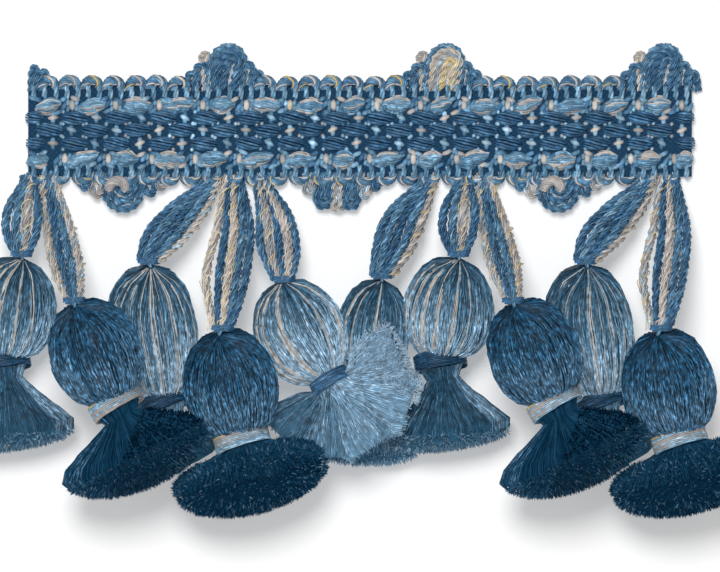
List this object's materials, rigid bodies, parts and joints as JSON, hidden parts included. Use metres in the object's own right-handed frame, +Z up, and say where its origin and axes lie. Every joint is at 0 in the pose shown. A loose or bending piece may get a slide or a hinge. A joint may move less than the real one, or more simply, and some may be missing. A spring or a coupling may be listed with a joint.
{
  "type": "tassel fringe",
  "caption": "Woven braid with picot edges and rosettes, with navy and light blue tassels hung from it on bunches of twisted cord.",
  "frame": {"origin": "middle of the piece's bounding box, on the surface that it lies on", "axes": "+X along the braid, +Y from the tassels to the braid's upper picots, +Z up from the surface"},
  "size_m": [0.1516, 0.0902, 0.0232],
  "materials": {
    "braid": "woven viscose yarn, soft sheen",
    "cord": "twisted cord, blue with taupe and gold strands",
    "light_yarn": "light blue yarn with taupe strands, silky",
    "navy_yarn": "navy yarn, silky on the heads, soft on the cut skirts",
    "taupe_binding": "wound taupe yarn with gold",
    "blue_binding": "wound dark blue yarn"
  },
  "bodies": {
    "root": {"heading_braid": "braid", "tassel_light_1": "light_yarn", "binding_light_1": "blue_binding", "hanger_light_1": "cord", "tassel_dark_1": "navy_yarn", "binding_dark_1": "taupe_binding", "hanger_dark_1": "cord", "tassel_light_2": "light_yarn", "binding_light_2": "blue_binding", "hanger_light_2": "cord", "tassel_dark_2": "navy_yarn", "binding_dark_2": "taupe_binding", "hanger_dark_2": "cord", "tassel_light_3": "light_yarn", "binding_light_3": "blue_binding", "hanger_light_3": "cord", "tassel_light_4": "light_yarn", "binding_light_4": "blue_binding", "hanger_light_4": "cord", "tassel_light_5": "light_yarn", "binding_light_5": "blue_binding", "hanger_light_5": "cord", "tassel_dark_3": "navy_yarn", "binding_dark_3": "taupe_binding", "hanger_dark_3": "cord", "tassel_light_6": "light_yarn", "binding_light_6": "blue_binding", "hanger_light_6": "cord", "tassel_dark_4": "navy_yarn", "binding_dark_4": "taupe_binding", "hanger_dark_4": "cord"}
  },
  "joints": []
}
